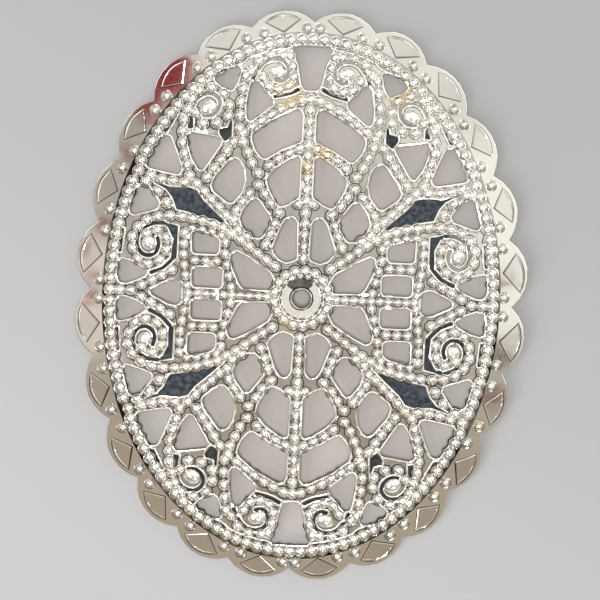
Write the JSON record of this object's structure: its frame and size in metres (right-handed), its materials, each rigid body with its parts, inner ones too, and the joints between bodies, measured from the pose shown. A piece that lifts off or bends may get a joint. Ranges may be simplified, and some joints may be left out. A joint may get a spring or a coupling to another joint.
{
  "type": "oval filigree flower charm",
  "caption": "Shallow domed oval filigree charm of pierced scrollwork, with a petal-scalloped rim, beaded ribs and a hub hole.",
  "frame": {"origin": "middle of the oval, on the plane that the scallop tips rest on", "axes": "+Y along the oval's length, +X along its width, +Z out of the domed, beaded face"},
  "size_m": [0.0356, 0.045, 0.0022],
  "materials": {
    "silver_plate": "bright warm silver plate on brass, worn to the brass in spots, dark in the blind pockets"
  },
  "bodies": {
    "root": {"filigree_plate": "silver_plate"}
  },
  "joints": []
}
